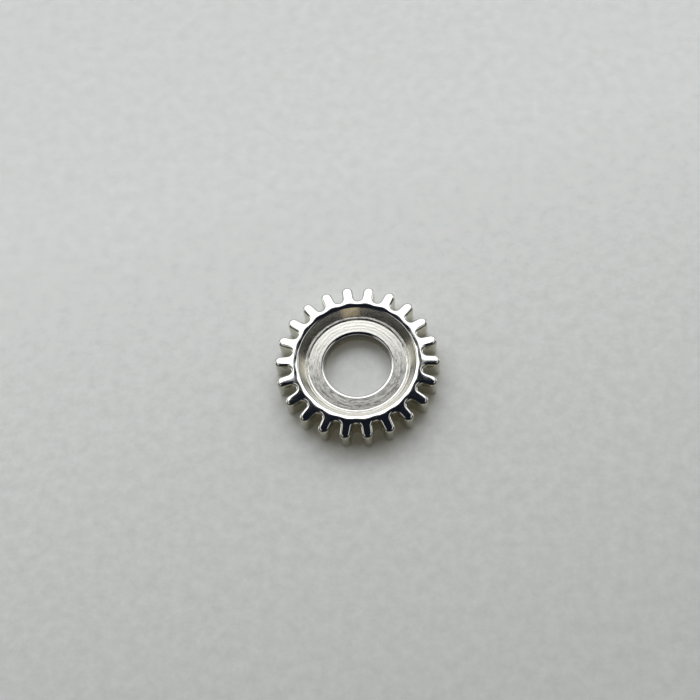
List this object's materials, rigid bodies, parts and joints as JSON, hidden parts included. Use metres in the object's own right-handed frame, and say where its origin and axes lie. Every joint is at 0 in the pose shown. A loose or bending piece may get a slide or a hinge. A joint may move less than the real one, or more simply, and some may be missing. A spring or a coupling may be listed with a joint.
{
  "type": "watch crown wheel",
  "caption": "Round toothed watch wheel with a recessed face and a plain central bore, for winding gearing.",
  "frame": {"origin": "on the bore's axis, at the height of the flat underside", "axes": "+Z along the bore's axis, out of the recess; +X through the middle of one tooth and -X through the middle of another"},
  "size_m": [0.005, 0.005, 0.0009],
  "materials": {
    "steel": "bright polished, with fine turning marks on the recess floor"
  },
  "bodies": {
    "root": {"crown_wheel": "steel"}
  },
  "joints": []
}
